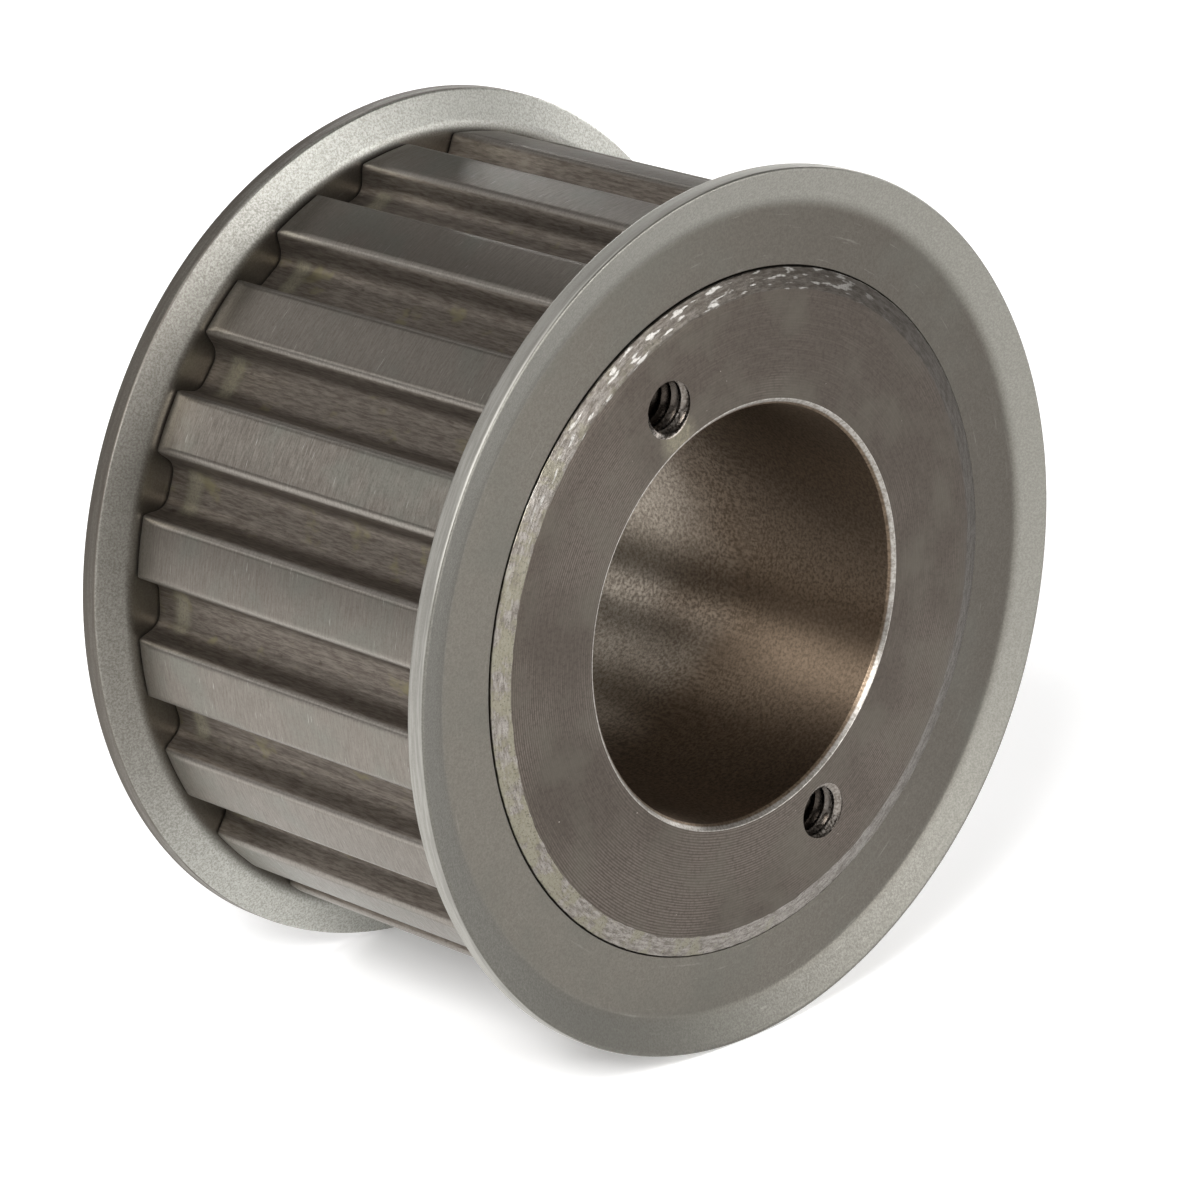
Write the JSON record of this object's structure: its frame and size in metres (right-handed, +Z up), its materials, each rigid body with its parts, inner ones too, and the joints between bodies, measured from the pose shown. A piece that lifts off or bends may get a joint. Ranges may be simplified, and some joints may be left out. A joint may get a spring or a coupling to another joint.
{
  "type": "timing belt pulley",
  "caption": "Flanged steel timing belt pulley with trapezoidal tooth grooves, a tapered bore for a split bushing and tapped screw holes in its front face.",
  "frame": {"origin": "the middle of the pulley on its axis, halfway between the two flanges", "axes": "+Y along the axis, from the face with the two tapped holes to the rear face; +X runs out through the middle of a tooth groove; +Z up"},
  "size_m": [0.0872, 0.0472, 0.0872],
  "materials": {
    "turned_steel": "turned, lightly oiled",
    "flange_steel": "pressed sheet, satin, fine grain"
  },
  "bodies": {
    "root": {"toothed_hub": "turned_steel", "front_flange": "flange_steel", "rear_flange": "flange_steel"}
  },
  "joints": []
}
